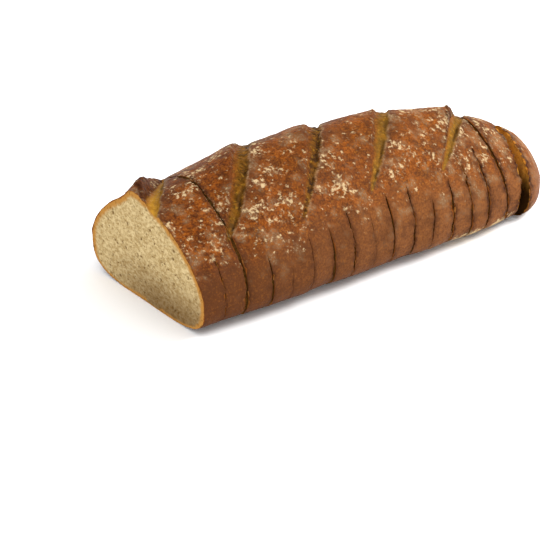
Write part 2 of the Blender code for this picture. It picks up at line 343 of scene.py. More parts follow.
def even_angles(count):
    """Angles round the loaf, even over the dome, closer at the lower corners and wider on the base."""
    fine = np.linspace(-np.pi / 2, 3 * np.pi / 2, FINE_STEPS)
    radius = plain_radius(np.full_like(fine, 0.5 * HEEL_START), fine)
    steps = np.diff(radius * np.exp(1j * fine))
    bends = np.abs(np.angle(steps[1:] / steps[:-1]))
    on_base = np.sin(fine[1:-1]) < BASE_BELOW
    weights = np.abs(steps[1:]) * np.where(on_base, BASE_WEIGHT, 1) + BEND_WEIGHT * bends
    travelled = np.concatenate([[0, 0], np.cumsum(weights)])
    return np.interp(np.arange(count) / count * travelled[-1], travelled, fine)


@functools.lru_cache(maxsize=None)
def lattice(seed):
    return np.random.default_rng(seed).uniform(-1, 1, (LATTICE,) * 3)


def hills(points, size, seed):
    """Smooth noise between -1 and 1, with hills of one size."""
    place = points / size
    cell = np.floor(place).astype(int)
    t = place - cell
    t = t * t * (3 - 2 * t)
    values = lattice(seed)
    total = 0.0
    for corner in itertools.product((0, 1), repeat=3):
        weight = np.prod(np.where(corner, t, 1 - t), axis=-1)
        index = (cell + corner) % LATTICE
        total = total + weight * values[index[..., 0], index[..., 1], index[..., 2]]
    return total


def rough(points, size, seed):
    """Noise with finer hills on the larger ones."""
    total = 0.0
    for octave in range(OCTAVES):
        total = total + hills(points, size / 2**octave, seed + octave) / 2**octave
    return total / OCTAVE_SUM


def smooth(value, low, high):
    """0 below low, 1 above high and a soft step between."""
    t = np.clip((value - low) / (high - low), 0, 1)
    return t * t * (3 - 2 * t)


def uneven(place, relief):
    """The height of one kind of relief at each point."""
    return relief.height * rough(place, relief.size, relief.seed)


def patchy(place, patches, seed_step=0, more=0.0):
    """0 between the patches of one kind and 1 inside them. More makes them wider."""
    noise = rough(place, patches.size, patches.seed + seed_step)
    return smooth(noise + more, patches.low, patches.high)


def lip_slope(lip):
    """Half the width of the slope from a lip into its groove."""
    return LIP_ROUNDING + LIP_LEANING * lip


def stroke(slant, y):
    """How far a score has moved along the loaf by the time it is y from the crest."""
    return slant * (y + SCORE_CURL * y**3)


# How points lie about a score: how much of it is left at their distance from the crest, its half width
# there, how far behind its middle line they are, the height of its lip, half the width and the foot of the
# slope below the lip, and how deep they are in the tear.
Trace = namedtuple("Trace", "fade edge offset lip slope foot crevice")


def trace_score(score, place, wander, torn):
    x, y = place[..., 0], place[..., 1]
    fade = np.sqrt(1 - np.clip(np.abs(y / score.reach), 0, 1) ** score.blunt)
    ripple = 1 + EDGE_RIPPLE * np.sin(2 * np.pi * y / RIPPLE_LENGTH + score.crest)
    edge = np.maximum(score.half * fade * ripple, LEAST_HALF)
    offset = x - score.crest - stroke(score.slant, y)
    offset = offset + wander * np.clip(edge / score.half, 0, 1)
    lip = score.lip * 0.5 * (1 + np.tanh((y - score.risen) / LIP_RISE))
    slope = lip_slope(lip)
    foot = np.minimum(slope - LIP_ROUNDING - edge, 0)
    crevice = np.exp(-(((offset / edge - CREVICE_AT) / CREVICE_WIDTH) ** 2))
    crevice = crevice * smooth(edge, *GROWN_HALVES) * torn
    return Trace(fade, edge, offset, lip, slope, foot, crevice)


def score_relief(score, trace):
    """The lip, the groove, the lowered shoulder behind it and the tear beside that."""
    fade, edge, offset = trace.fade, trace.edge, trace.offset
    raised = trace.lip * fade * np.exp(-((np.minimum(offset + edge, 0) / score.spread) ** 2))
    raised = raised * (1 - smooth(offset + edge, -trace.slope, trace.slope))
    share = (offset / edge - DEEPEST_AT) / (1 + DEEPEST_AT * np.where(offset < 0, 1, -1))
    groove = -score.depth * fade * np.clip(1 - share**2, 0, 1)
    dropped = -SHOULDER_DROP * fade * np.clip(0.5 + 0.5 * offset / edge, 0, 1)
    dropped = dropped * np.exp(-np.maximum(offset - edge, 0) / SHOULDER_REACH)
    return raised + groove + dropped - CREVICE_DEPTH * trace.crevice * fade


def score_burn(score, trace):
    """How dark a score's lip and the crust before it have baked."""
    past_edge = trace.offset + trace.edge
    before = 1 - smooth(trace.offset - trace.foot, 0, BURN_SOFTNESS * trace.edge)
    start, full = (-near - growth * trace.lip for near, growth in (BURN_START, BURN_FULL))
    free_edge = smooth(past_edge, start, full)
    burnt = score.burnt * free_edge * before * np.sqrt(trace.fade)
    baked = LIP_DARKNESS * np.exp(np.minimum(past_edge, 0) / LIP_DARK_REACH)
    return np.maximum(burnt, baked * trace.fade * before)


def score_looks(score, trace):
    """The fields of one score, each between 0 and 1."""
    edge, offset = trace.edge, trace.offset
    from_foot = offset - trace.foot
    from_side = np.where(offset < 0, from_foot / edge, INSIDE_EDGE - offset / edge)
    inside = smooth(from_side, 0, INSIDE_SOFTNESS) * smooth(edge, *INSIDE_HALVES)
    behind = np.exp(-np.maximum(offset - edge, 0) / DUSK_REACH) * (offset > edge)
    ridge = np.exp(-(((offset - edge) / CREAM_WIDTH) ** 2))
    return {
        "inside": inside,
        "gilt": score.gilt * inside,
        "burn": score_burn(score, trace),
        "dusk": behind * trace.fade,
        # painted shade in the tear beside the shoulder
        "shade": trace.crevice,
        "blush": inside * (1 - smooth(from_foot, 0, BLUSH_WIDTH * edge)),
        "cream": ridge * smooth(edge, *GROWN_HALVES),
    }


def score_fields(place):
    """The relief of all scores together, and their fields."""
    wander = uneven(place, EDGE_WANDER)
    torn = patchy(place, TORN) * smooth(np.abs(place[..., 1]), *CREVICE_CREST)
    relief = 0.0
    fields = {}
    for score in SCORES:
        trace = trace_score(score, place, wander, torn)
        relief = relief + score_relief(score, trace)
        for key, values in score_looks(score, trace).items():
            fields[key] = np.maximum(fields.get(key, 0.0), values)
    return relief, fields


def section_point(x, angle, radius):
    z = centre_height(x) + radius * np.sin(angle) - SETTLED
    return np.stack([x + 0 * angle, radius * np.cos(angle), np.maximum(z, 0)], axis=-1)


def fine_relief(place, fields):
    """The roughness of the skin, and of the crumb where a score has laid it bare."""
    skin = uneven(place, SKIN) * (SIDE_SKIN + (1 - SIDE_SKIN) * fields["top"])
    skin = skin + uneven(place, GRAIN) + FLOUR_HEIGHT * fields["flour"]
    skin = skin + uneven(place, CRAGS) * fields["burn"] ** 3
    crumbly = uneven(place, CRUMBLE) * (1 - GILT_SMOOTHNESS * fields["gilt"])
    return skin * (1 - fields["inside"]) + crumbly * fields["inside"]


def crust_surface(x, angle):
    """The crust's points, and the fields that its material reads."""
    radius = plain_radius(x, angle)
    above = np.clip(np.sin(angle), 0, 1)
    at_side = 1 - np.abs(np.sin(angle))
    relief, fields = score_fields(section_point(x, angle, radius))
    lift = relief * np.sqrt(above) + swell(x, angle) * closing(x, HEEL_POWER, HEEL_ROOT)
    radius = radius + np.where(above > 0, lift, lift * at_side)
    place = section_point(x, angle, radius)
    fields["top"] = smooth(place[..., 2] / full_height(x), *TOP_SHARES)
    fields["flour"] = flour_cover(place, fields)
    fine = fine_relief(place, fields) * np.where(above > 0, 1, at_side)
    place = section_point(x, angle, radius + fine)
    fields["haze"] = haze_cover(place, fields)
    fields["pale"] = smooth(x, *PALE_SPAN)
    return place, fields


def flour_cover(place, fields):
    """How thickly the flour still lies: in clusters on the pillows, thinning down the sides."""
    streaks = rough(place * np.array(STREAK_STRETCH), STREAK_SIZE, STREAK_SEED)
    dusted = DUSTED_GAIN * smooth(place[..., 0], *DUSTED_SPAN)
    thick = STREAK_WEIGHT * streaks + PATCH_WEIGHT * patchy(place, FLOURED)
    thick = thick + CLUSTER_BIAS + TOP_WEIGHT * fields["top"] + dusted
    clusters = smooth(thick, *CLUSTER_SPAN) * smooth(place[..., 2], *FLOUR_HEIGHTS)
    clusters = clusters * (1 - fields["inside"])
    along_base = smooth(place[..., 0], *BASE_FLOUR_SPAN) * (1 - smooth(place[..., 2], *BASE_FLOUR_HEIGHTS))
    return clusters + BASE_FLOUR * along_base * patchy(place, FLOURED_BASE)


def haze_cover(place, fields):
    """A thin veil of flour in soft patches, reaching lower than the flakes."""
    veil = patchy(place, HAZY, more=DUSTED_HAZE * smooth(place[..., 0], *DUSTED_SPAN))
    return veil * smooth(place[..., 2], *HAZE_HEIGHTS) * (1 - fields["inside"])


def cut_offset(cut, side, place):
    """Where the front (-1) or back (1) face or the middle (0) of a cut crosses each point's line along X."""
    slope_y, slope_z = math.tan(math.radians(cut.turn)), math.tan(math.radians(cut.lean))
    norm = math.sqrt(1 + slope_y**2 + slope_z**2)
    return cut.place + side * 0.5 * cut.gap * norm + slope_y * place[..., 1] + slope_z * place[..., 2]


def openness(cut, place):
    """1 where a cut gapes and 0 where its edges still meet."""
    height = place[..., 2] + uneven(place, CLOSING_WANDER)
    return 1 - smooth(height, cut.open_to - CLOSING_HEIGHT, cut.open_to)


def cut_line(cut, side, angles):
    """The places along the loaf where one edge of a cut meets the crust, for each angle."""
    x = np.full(len(angles), cut.place)
    for _ in range(CUT_PASSES):
        place, _ = crust_surface(x, angles)
        x = cut_offset(cut, 0, place)
    half_gap = cut_offset(cut, 1, place) - x
    half_gap = half_gap * (LEAST_PARTED + (MOST_PARTED - LEAST_PARTED) * patchy(place, PARTED))
    if cut.gap < WIDE_GAP:
        half_gap = half_gap * (1 - NARROWING * smooth(place[..., 2], *NARROWING_HEIGHTS))
    gape = cut.wide * patchy(place, GAPING, side)
    tear = TEAR * cut.broken * patchy(place, TEARING)
    ragged = uneven(place, RAGGED) * (LEAST_RAGGED + (1 - LEAST_RAGGED) * cut.broken)
    off_base = smooth(place[..., 2], *OFF_BASE_HEIGHTS)
    strayed = off_base * (ragged + side * (gape + tear)) + side * half_gap
    return x + openness(cut, place) * strayed


def chip(cut, place, distance, seed_step):
    """How deep the crust has broken away beside a cut."""
    broken = cut.broken * patchy(place, CHIPPED, seed_step) + LEAST_CHIP
    return CHIP_DEPTH * broken * openness(cut, place) * np.exp(-np.maximum(distance, 0) / CHIP_REACH)


def darken_edge(cut, place, distance, seed_step):
    """How much darker the crust is beside a cut."""
    reach = HEEL_EDGE_DARK_REACH if cut is CUTS[-1] else EDGE_DARK_REACH
    burnt = EDGE_DARKENING * cut.charred * patchy(place, DARK_EDGE_PATCHES, seed_step) * openness(cut, place)
    return np.minimum(burnt * np.exp(-np.maximum(distance, 0) / reach), 1.0)


def seam_shade(cut, place, distance):
    """How much shade is painted on the crust beside a cut, where its edges curl."""
    return SEAM_SHADE * openness(cut, place) * np.exp(-distance / SEAM_REACH)


def break_away(x, place, depth):
    """The crust's points, moved inward by the depth of the chips."""
    inward = np.stack([x, 0 * x, centre_height(x)], axis=-1) - place
    inward = inward / np.maximum(np.linalg.norm(inward, axis=-1, keepdims=True), 1.0)
    place = place + inward * depth[..., None]
    place[..., 2] = np.maximum(place[..., 2], 0)
    return place


def crust_rings(index, angles):
    """The rings of one piece's crust, from its front cut to its back cut or to the heel's tip."""
    front = cut_line(CUTS[index], 1, angles)
    last = index == len(CUTS) - 1
    if last:
        t = np.linspace(0, 1, HEEL_RINGS, endpoint=False)
        shares = np.sin(0.5 * np.pi * t)
        back = np.full_like(front, HEEL_TIP)
    else:
        t = np.linspace(0, 1, CRUST_RINGS)
        shares = t - RING_CROWDING * np.sin(2 * np.pi * t) / (2 * np.pi)
        back = cut_line(CUTS[index + 1], -1, angles)
    x = front + shares[:, None] * (back - front)
    place, fields = crust_surface(x, np.broadcast_to(angles, x.shape))
    edges = [(CUTS[index], x - front, index)]
    if not last:
        edges.append((CUTS[index + 1], back - x, BACK_EDGE + index))
    depth = sum(chip(cut, place, distance, step) for cut, distance, step in edges)
    charred = sum(darken_edge(cut, place, distance, step) for cut, distance, step in edges)
    shaded = sum(seam_shade(cut, place, distance) for cut, distance, _ in edges)
    # the crust beside each cut is darkened with the burnt lips' colour
    fields["burn"] = np.maximum(fields["burn"], charred)
    # painted shade beside the cuts joins the dusky tone behind the scores
    fields["dusk"] = np.maximum(fields["dusk"], shaded)
    fields["bare"] = smooth(depth, *BARE_DEPTHS)
    return break_away(x, place, depth), fields


Pore = namedtuple("Pore", "y z long wide turn deep")


def draw_pores(seed, count, width, height):
    """Pores of the crumb: small ones everywhere and a few large ones, mostly upright."""
    draw = np.random.default_rng(seed)
    pores = []
    for _ in range(count):
        long = LEAST_PORE + PORE_GROWTH * draw.random() ** PORE_RARITY
        pores.append(
            Pore(
                y=draw.uniform(-width, width),
                z=draw.uniform(0, height),
                long=long,
                wide=long * draw.uniform(*PORE_WIDTHS),
                turn=draw.normal(*PORE_TURN),
                deep=draw.uniform(*PORE_DEPTHS),
            )
        )
    return pores


def pore_depth(place, pores):
    """How deep the pores reach at each point of a cut face."""
    y, z = place[..., 1], place[..., 2]
    depth = np.zeros(y.shape)
    for pore in pores:
        near = np.nonzero(np.hypot(y - pore.y, z - pore.z) < PORE_REACH * pore.long)
        dy, dz = y[near] - pore.y, z[near] - pore.z
        along = math.cos(pore.turn) * dz + math.sin(pore.turn) * dy
        across = math.cos(pore.turn) * dy - math.sin(pore.turn) * dz
        inside = np.clip(PORE_REACH - np.hypot(along / pore.long, across / pore.wide), 0, 1)
        depth[near] = np.maximum(depth[near], pore.deep * inside)
    return depth


def face_looks(place, under_crust, pore, cut, shown):
    """The fields that the crumb's material reads."""
    # painted shade: the crumb darkens low down and towards the near side
    low_shade = (1 - smooth(place[..., 2], *LOW_SHADE_HEIGHTS)) * smooth(-place[..., 1], *LOW_SHADE_SPAN)
    fields = {"under_crust": under_crust, "pore": smooth(pore, *PORE_SHADES), "low_shade": low_shade}
    if cut is CUTS[-1]:
        # painted shadow: the heel's face darkens below a wandering height, in the shade of the gap before it
        height = place[..., 2] + uneven(place, GAP_SHADE_WANDER)
        fields["under_crust"] = HEEL_RIM * under_crust
        # partly the crumb's own golden tone and partly painted light: the heel's whole face is made golden,
        # brightening a face that lies in the shade of its gap
        fields["gilt"] = np.ones_like(under_crust)
        fields["gap_shade"] = 1 - smooth(height, *HEEL_SHADE_HEIGHTS)
    elif not shown:
        # painted shade: a hidden face darkens beside its rim, deep in its gap
        fields["gap_shade"] = HIDDEN_GAP_SHADE * (1 - smooth(under_crust, *GAP_SHADE_DEPTHS))
    return fields


def face_rings(rim, rimless, cut, side, shown, seed):
    """The rings of a cut face, from just inside its rim to its middle, its middle and its fields."""
    middle = np.array([0.0, 0.0, centre_height(cut.place)])
    reach = np.linalg.norm((rim - middle)[:, 1:], axis=-1)
    if shown:
        ring_count = int(reach.max() / SHOWN_FACE_PITCH)
        shares = 1 - np.arange(1, ring_count) / ring_count
        inner = shares[:, None] * np.ones_like(reach)
    else:
        inner = 1 - np.array(HIDDEN_FACE_DEPTHS)[:, None] / reach
    place = middle + inner[..., None] * (rim - middle)
    under_crust = (1 - inner) * reach + RIMLESS_DEPTH * rimless
    under_crust = under_crust + THIN_BASE * (1 - smooth(place[..., 2], *THIN_HEIGHTS))
    pore_count = SHOWN_PORES if shown else HIDDEN_PORES
    pores = draw_pores(seed, pore_count, half_width(cut.place), full_height(cut.place))
    pore = pore_depth(place, pores) * smooth(under_crust, *PORES_UNDER)
    grain = CRUMB_HEIGHT * rough(place * np.array(CRUMB_STRETCH), CRUMB_SIZE, seed + 1)
    grain = grain * smooth(under_crust, *CRUMB_UNDER)
    place[..., 0] = cut_offset(cut, side, place) + side * (pore + grain)
    middle[0] = cut_offset(cut, side, middle)
    return place, middle, face_looks(place, under_crust, pore, cut, shown)


def ring_mesh(name, rings, poles, bands, fields):
    """A closed mesh of rings between two poles. Bands says which material each strip of faces takes."""
    count, steps, _ = rings.shape
    index = np.arange(count * steps).reshape(count, steps)
    after = np.roll(index, -1, axis=1)
    quads = np.stack([index[:-1], index[1:], after[1:], after[:-1]], axis=-1).reshape(-1, 4)
    first, last = count * steps, count * steps + 1
    cap = np.stack([np.full(steps, first), index[0], after[0]], axis=-1)
    end = np.stack([np.full(steps, last), after[-1], index[-1]], axis=-1)
    points = np.concatenate([rings.reshape(-1, 3), poles])
    mesh = bpy.data.meshes.new(name)
    faces = [*map(tuple, cap.tolist()), *map(tuple, quads.tolist()), *map(tuple, end.tolist())]
    mesh.from_pydata((points * MM).tolist(), [], faces)
    slots = np.concatenate([[bands[0]] * steps, np.repeat(bands[1:-1], steps), [bands[-1]] * steps])
    mesh.polygons.foreach_set("material_index", slots.astype(np.int32))
    mesh.shade_smooth()
    mesh.set_sharp_from_angle(angle=SHARP_ANGLE)
    for key, values in fields.items():
        layer = mesh.attributes.new(key, "FLOAT", "POINT")
        ends = [values[0].mean(), values[-1].mean()]
        layer.data.foreach_set("value", np.concatenate([values.ravel(), ends]).astype(np.float32))
    return mesh


def stack_fields(parts):
    """Joins the fields of faces and crust, ring by ring, with 0 where a part has no such field."""
    keys = dict.fromkeys(key for _, fields in parts for key in fields)
    joined = {}
    for key in keys:
        joined[key] = np.concatenate(
            [fields.get(key, np.zeros(place.shape[:2])) for place, fields in parts]
        )
    return joined


CRUST_BAND, CRUMB_BAND = 0, 1  # the places of the two materials


def piece_mesh(name, index, angles, slid):
    """The closed mesh of one slice or of the heel."""
    last = index == len(CUTS) - 1
    crust, crust_fields = crust_rings(index, angles)
    shown = index == 0 or last
    bare = crust_fields["inside"]
    seed = FACE_SEED + index
    front, front_pole, front_fields = face_rings(crust[0], bare[0], CUTS[index], 1, shown, seed)
    front_fields = {key: values[::-1] for key, values in front_fields.items()}
    parts = [(front[::-1], front_fields), (crust, crust_fields)]
    bands = [CRUMB_BAND] * (len(front) + 1) + [CRUST_BAND] * (len(crust) - 1)
    if last:
        back_pole = np.array([HEEL_TIP, 0.0, centre_height(HEEL_TIP)])
        bands.append(CRUST_BAND)
    else:
        seed += BACK_EDGE
        back, back_pole, back_fields = face_rings(crust[-1], bare[-1], CUTS[index + 1], -1, False, seed)
        parts.append((back, back_fields))
        bands += [CRUMB_BAND] * (len(back) + 1)
    rings = np.concatenate([place for place, _ in parts])
    rings[..., 1] += slid * (1 if last else 1 - smooth(rings[..., 2], *LEVEL_HEIGHTS))
    poles = np.array([front_pole, back_pole]) - MIDDLE
    return ring_mesh(name, rings - MIDDLE, poles, bands, stack_fields(parts))


def make_piece(index, angles, slid, materials):
    """One slice or the heel, standing for its solid."""
    node = "heel" if index == len(CUTS) - 1 else f"slice_{index + 1:02d}"
    mesh = piece_mesh("fine_" + node, index, angles, slid)
    for material in materials:
        mesh.materials.append(material)
    piece = bpy.data.objects.new("fine_" + node, mesh)
    bpy.context.scene.collection.objects.link(piece)
    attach(piece, "root")
    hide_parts(node)


def srgb(red, green, blue):
    """A display colour, from 0 to 255, as the linear colour that shaders take."""
    values = np.array([red, green, blue]) / 255
    linear = np.where(values <= 0.04045, values / 12.92, ((values + 0.055) / 1.055) ** 2.4)
    return (*linear.tolist(), 1.0)


MIX_INPUTS = (0, 6, 7)  # the share and the two colours of a colour mix
MIX_RESULT = 2


class Sheet:
    """One material and the nodes that are added to it."""

    def __init__(self, name, specular):
        self.material = bpy.data.materials.new(name)
        self.material.use_nodes = True
        self.tree = self.material.node_tree
        self.shader = self.tree.nodes["Principled BSDF"]
        self.shader.inputs["Specular IOR Level"].default_value = specular
        self.place = self.tree.nodes.new("ShaderNodeTexCoord").outputs["Object"]

    def plug(self, socket, value):
        if isinstance(value, bpy.types.NodeSocket):
            self.tree.links.new(value, socket)
        else:
            socket.default_value = value

    def field(self, name):
        node = self.tree.nodes.new("ShaderNodeAttribute")
        node.attribute_name = name
        return node.outputs["Fac"]

    def noise(self, texture, stretch=None):
        """Noise between 0 and 1."""
        node = self.tree.nodes.new("ShaderNodeTexNoise")
        place = self.place
        if stretch:
            mapping = self.tree.nodes.new("ShaderNodeMapping")
            mapping.inputs["Scale"].default_value = stretch
            self.tree.links.new(place, mapping.inputs["Vector"])
            place = mapping.outputs["Vector"]
        self.tree.links.new(place, node.inputs["Vector"])
        node.inputs["Scale"].default_value = 1 / (texture.size * MM)
        node.inputs["Detail"].default_value = texture.detail
        node.inputs["Roughness"].default_value = texture.roughness
        return node.outputs["Fac"]

    def compute(self, operation, *values):
        node = self.tree.nodes.new("ShaderNodeMath")
        node.operation = operation
        for socket, value in zip(node.inputs, values):
            self.plug(socket, value)
        return node.outputs["Value"]

    def times(self, first, second):
        return self.compute("MULTIPLY", first, second)

    def ramp(self, value, ramp):
        """Maps the ramp's low to high, softly, onto its least to most."""
        node = self.tree.nodes.new("ShaderNodeMapRange")
        node.interpolation_type = "SMOOTHSTEP"
        for socket, entry in zip(node.inputs, (value, *ramp)):
            self.plug(socket, entry)
        return node.outputs["Result"]

    def blend(self, share, first, second):
        """One colour where share is 0 and the other where it is 1."""
        node = self.tree.nodes.new("ShaderNodeMix")
        node.data_type = "RGBA"
        for place, value in zip(MIX_INPUTS, (share, first, second)):
            self.plug(node.inputs[place], value)
        return node.outputs[MIX_RESULT]

    def finish(self, colour, roughness, height):
        """Gives the shader its colour, its roughness and the bumps of the grain."""
        node = self.tree.nodes.new("ShaderNodeBump")
        node.inputs["Strength"].default_value = BUMP_STRENGTH
        node.inputs["Distance"].default_value = BUMP_HEIGHT * MM
        self.tree.links.new(height, node.inputs["Height"])
        self.plug(self.shader.inputs["Base Color"], colour)
        self.plug(self.shader.inputs["Roughness"], roughness)
        self.plug(self.shader.inputs["Normal"], node.outputs["Normal"])
        return self.material


# The colours, as display values.
AMBER = srgb(132, 67, 16)
RUST = srgb(79, 35, 8)
UMBER = srgb(41, 19, 6)
GOLDEN = srgb(159, 97, 30)
SIDE_LIGHT = srgb(122, 75, 40)
SIDE_MIDDLE = srgb(99, 57, 29)
SIDE_DARK = srgb(79, 43, 20)
DUSK = srgb(72, 41, 22)
BURNT = srgb(42, 18, 7)
GILT = srgb(162, 117, 35)
STRAW = srgb(102, 62, 9)
OLIVE = srgb(55, 30, 3)
SPECK = srgb(27, 12, 3)
FLOUR = srgb(189, 164, 124)
BARE = srgb(157, 103, 48)
CRUMB_LIGHT = srgb(205, 183, 137)
CRUMB_DARK = srgb(162, 136, 90)
# the painted shade colour of the lower crumb
SHADED_CRUMB = srgb(85, 52, 13)
# the painted shade colour of the pores
PORE_SHADOW = srgb(97, 69, 31)
RIM_GOLD = srgb(171, 121, 58)
RIM_BROWN = srgb(113, 59, 20)
HEEL_GOLD = srgb(194, 134, 48)
# the painted shadow colour of the gaps
GAP_SHADOW = srgb(48, 27, 7)

# Noise in the materials: the size of its hills, its detail, and how strong its finer hills are.
Texture = namedtuple("Texture", "size detail roughness", defaults=(3.0, 0.55))
CRUST_GRAIN = Texture(1.2, detail=4.0, roughness=0.65)
MOTTLE = Texture(3.6, detail=6.0, roughness=0.68)
UMBER_CLOUDS = Texture(11.0)
DUSK_CLOUDS = Texture(8.0, detail=4.0)
FLOUR_FLECKS = Texture(1.9, detail=5.0, roughness=0.62)
STRAW_CLOUDS = Texture(3.4, detail=5.0)
GILT_CLOUDS = Texture(2.2, detail=4.0)
SPECKS = Texture(1.4)
CRUMB_GRAIN = Texture(1.6, detail=5.0, roughness=0.7)
CRUMB_SHADES = Texture(9.0)
HOLES = Texture(2.0, detail=2.0)
RIM_EDGE = Texture(3.0, detail=4.0)
RIM_HOLES = Texture(2.2, detail=2.0)

# Ramps turn noise or a field into the share of a colour: where they begin and end, and the share at both.
Ramp = namedtuple("Ramp", "low high least most")
AMBER_RAMP = Ramp(0.34, 0.68, 0.0, 1.0)
UMBER_PATCHES = Ramp(0.46, 0.64, 0.0, 0.4)
UMBER_GRAINS = Ramp(0.52, 0.64, 0.0, 0.6)
GOLDEN_GRAINS = Ramp(0.37, 0.48, 0.45, 0.0)
SIDE_MOTTLE = Ramp(0.35, 0.7, 0.0, 0.6)
SIDE_GRAINS = Ramp(0.45, 0.66, 0.0, 0.6)
SIDE_GOLDEN_GRAINS = Ramp(0.36, 0.46, 0.24, 0.0)
DUSK_PATCHES = Ramp(0.46, 0.66, 0.0, 0.45)
HAZE_GRAINS = Ramp(0.42, 0.66, 0.05, 0.32)
DUSTED_RAMP = Ramp(0.0, 0.3, 0.0, 1.0)
HALO_RAMP = Ramp(0.54, 0.68, 0.0, 0.16)
FLAKE_RAMP = Ramp(0.62, 0.75, 0.0, 1.0)
STRAW_RAMP = Ramp(0.38, 0.62, 0.0, 1.0)
GILT_SPOTS = Ramp(0.54, 0.68, 0.0, 0.45)
SPECK_RAMP = Ramp(0.52, 0.7, 0.0, 0.7)
GILT_MOTTLE = Ramp(0.4, 0.7, 0.0, 0.6)
CREAM_RAMP = Ramp(0.4, 0.62, 0.0, 0.3)
BURN_MOTTLE = Ramp(0.35, 0.65, 0.35, 1.0)
FLOUR_ROUGHNESS = Ramp(0.0, 0.6, 0.5, 0.85)
CRUMB_RAMP = Ramp(0.36, 0.64, 0.0, 1.0)
CRUMB_CLOUDS = Ramp(0.4, 0.7, 0.0, 0.3)
HOLE_RAMP = Ramp(0.63, 0.71, 0.0, 1.0)
GOLD_RIM_RAMP = Ramp(0.8, 3.8, 1.0, 0.0)
BROWN_RIM_RAMP = Ramp(-1.3, -0.2, 1.0, 0.0)
RIM_PORES = Ramp(0.58, 0.66, 0.0, 1.0)
RIM_PORE_DEPTHS = Ramp(0.5, 2.4, 0.7, 0.0)
HEEL_GRAINS = Ramp(0.4, 0.62, 0.9, 0.3)

# Shares of a colour where its field is full.
PALE_GOLD = 0.1
DUSK_SHARE = 0.8
FLAKE_SHARE = 0.85
BLUSH_SHARE = 0.85
SHADE_SHARE = 0.8
BARE_SHARE = 0.85
LOW_SHADE_SHARE = 0.75
HOLE_SHARE = 0.6
PORE_SHARE = 0.8

FLOUR_WEIGHT = 0.17  # of the flour's field beside the noise of its flakes
RIM_WANDER = -2.8  # how far noise moves the rim inward
CRUST_SPECULAR = 0.03
CRUMB_SPECULAR = 0.02
CRUMB_ROUGHNESS = 0.9
BUMP_STRENGTH = 0.9
BUMP_HEIGHT = 0.3


def top_colour(sheet, grain, mottle):
    """Rust and amber, with umber stains and golden grains."""
    colour = sheet.blend(sheet.ramp(mottle, AMBER_RAMP), RUST, AMBER)
    colour = sheet.blend(sheet.ramp(sheet.noise(UMBER_CLOUDS), UMBER_PATCHES), colour, UMBER)
    colour = sheet.blend(sheet.ramp(grain, UMBER_GRAINS), colour, UMBER)
    colour = sheet.blend(sheet.ramp(grain, GOLDEN_GRAINS), colour, GOLDEN)
    # partly painted light: the top turns more golden towards the heel
    return sheet.blend(sheet.times(sheet.field("pale"), PALE_GOLD), colour, GOLDEN)


def side_colour(sheet, grain, mottle):
    """A duller brown, paler towards the heel."""
    # partly painted light: the sides lighten towards the heel
    colour = sheet.blend(sheet.field("pale"), SIDE_DARK, SIDE_LIGHT)
    colour = sheet.blend(sheet.ramp(mottle, SIDE_MOTTLE), colour, SIDE_MIDDLE)
    colour = sheet.blend(sheet.ramp(grain, SIDE_GRAINS), colour, SIDE_DARK)
    return sheet.blend(sheet.ramp(grain, SIDE_GOLDEN_GRAINS), colour, GOLDEN)


def score_colour(sheet, mottle, warm):
    """The rough olive crumb inside the scores, or the golden one where the dough has torn late."""
    colour = sheet.blend(sheet.ramp(sheet.noise(STRAW_CLOUDS), STRAW_RAMP), OLIVE, STRAW)
    colour = sheet.blend(sheet.ramp(sheet.noise(GILT_CLOUDS), GILT_SPOTS), colour, GILT)
    colour = sheet.blend(sheet.ramp(sheet.noise(SPECKS), SPECK_RAMP), colour, SPECK)
    gilt = sheet.blend(sheet.ramp(mottle, GILT_MOTTLE), GILT, STRAW)
    colour = sheet.blend(sheet.field("gilt"), colour, gilt)
    colour = sheet.blend(sheet.times(sheet.field("blush"), BLUSH_SHARE), colour, warm)
    # painted shade: the tear beside the shoulder is darkened with the specks' colour
    return sheet.blend(sheet.times(sheet.field("shade"), SHADE_SHARE), colour, SPECK)


def dust_with_flour(sheet, grain, colour):
    """The colour under a haze and flakes of flour, and where the flakes are."""
    haze = sheet.times(sheet.field("haze"), sheet.ramp(grain, HAZE_GRAINS))
    colour = sheet.blend(haze, colour, FLOUR)
    flecks = sheet.noise(FLOUR_FLECKS)
    flour = sheet.compute("MULTIPLY_ADD", sheet.field("flour"), FLOUR_WEIGHT, flecks)
    dusted = sheet.ramp(sheet.field("flour"), DUSTED_RAMP)
    halo = sheet.times(sheet.ramp(flour, HALO_RAMP), dusted)
    colour = sheet.blend(halo, colour, FLOUR)
    flakes = sheet.times(sheet.ramp(flour, FLAKE_RAMP), dusted)
    return sheet.blend(sheet.times(flakes, FLAKE_SHARE), colour, FLOUR), flakes


def crust_material():
    sheet = Sheet("crust", CRUST_SPECULAR)
    grain = sheet.noise(CRUST_GRAIN)
    mottle = sheet.noise(MOTTLE)
    warm = top_colour(sheet, grain, mottle)
    colour = sheet.blend(sheet.field("top"), side_colour(sheet, grain, mottle), warm)
    colour = sheet.blend(sheet.ramp(sheet.noise(DUSK_CLOUDS), DUSK_PATCHES), colour, DUSK)
    # the dusk field holds the dusky tone behind each score and the shade painted beside the cuts
    colour = sheet.blend(sheet.times(sheet.field("dusk"), DUSK_SHARE), colour, DUSK)
    colour, flakes = dust_with_flour(sheet, grain, colour)
    colour = sheet.blend(sheet.field("inside"), colour, score_colour(sheet, mottle, warm))
    cream = sheet.times(sheet.field("cream"), sheet.ramp(mottle, CREAM_RAMP))
    colour = sheet.blend(cream, colour, FLOUR)
    burnt = sheet.times(sheet.field("burn"), sheet.ramp(mottle, BURN_MOTTLE))
    colour = sheet.blend(burnt, colour, BURNT)
    colour = sheet.blend(sheet.times(sheet.field("bare"), BARE_SHARE), colour, BARE)
    return sheet.finish(colour, sheet.ramp(flakes, FLOUR_ROUGHNESS), grain)


